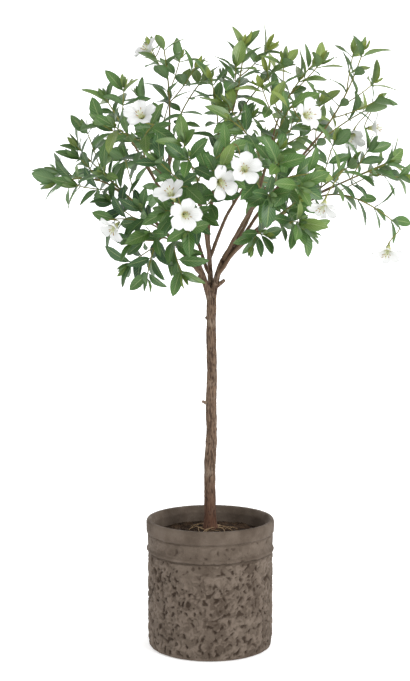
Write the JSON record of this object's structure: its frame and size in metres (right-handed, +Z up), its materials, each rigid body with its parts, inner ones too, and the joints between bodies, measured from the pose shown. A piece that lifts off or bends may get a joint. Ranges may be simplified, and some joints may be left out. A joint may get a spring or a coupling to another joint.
{
  "type": "potted azalea",
  "caption": "Azalea grown as a standard: a clear bark trunk in a rough stoneware pot of soil, with a round head of thin branches, leafy shoots and white funnel flowers.",
  "frame": {"origin": "centre of the pot's flat underside", "axes": "+Z up along the trunk, -Y towards the plant's front, +X to the right seen from the front"},
  "size_m": [0.8963, 0.7204, 1.4584],
  "materials": {
    "stoneware": "rough, pitted grey-brown stoneware, smoother at the rim",
    "soil": "dark crumbly potting soil",
    "bark": "grey-brown bark, redder towards the foot",
    "leaf": "satin green leaves with a paler midrib, on green twigs",
    "petal": "matt white petals with a greenish-yellow throat"
  },
  "bodies": {
    "root": {"pot": "stoneware", "soil": "soil", "trunk": "bark", "branch_01": "bark", "branch_02": "bark", "branch_03": "bark", "branch_04": "bark", "branch_05": "bark", "branch_06": "bark", "branch_07": "bark", "branch_08": "bark", "branch_09": "bark", "branch_10": "bark", "branch_11": "bark", "branch_12": "bark", "branch_13": "bark", "flower_01": "petal", "flower_02": "petal", "flower_03": "petal", "flower_04": "petal", "flower_05": "petal", "flower_06": "petal", "flower_07": "petal", "flower_08": "petal", "flower_09": "petal", "flower_10": "petal", "shoot_01": "leaf", "shoot_02": "leaf", "shoot_03": "leaf", "shoot_04": "leaf", "shoot_05": "leaf", "shoot_06": "leaf", "shoot_07": "leaf", "shoot_08": "leaf", "shoot_09": "leaf", "shoot_10": "leaf", "shoot_11": "leaf", "shoot_12": "leaf", "shoot_13": "leaf", "shoot_14": "leaf", "shoot_15": "leaf", "shoot_16": "leaf", "shoot_17": "leaf", "shoot_18": "leaf", "shoot_19": "leaf", "shoot_20": "leaf", "shoot_21": "leaf", "shoot_22": "leaf", "shoot_23": "leaf", "shoot_24": "leaf", "shoot_25": "leaf", "shoot_26": "leaf", "shoot_27": "leaf", "shoot_28": "leaf", "shoot_29": "leaf", "shoot_30": "leaf", "shoot_31": "leaf", "shoot_32": "leaf", "shoot_33": "leaf", "shoot_34": "leaf"}
  },
  "joints": []
}
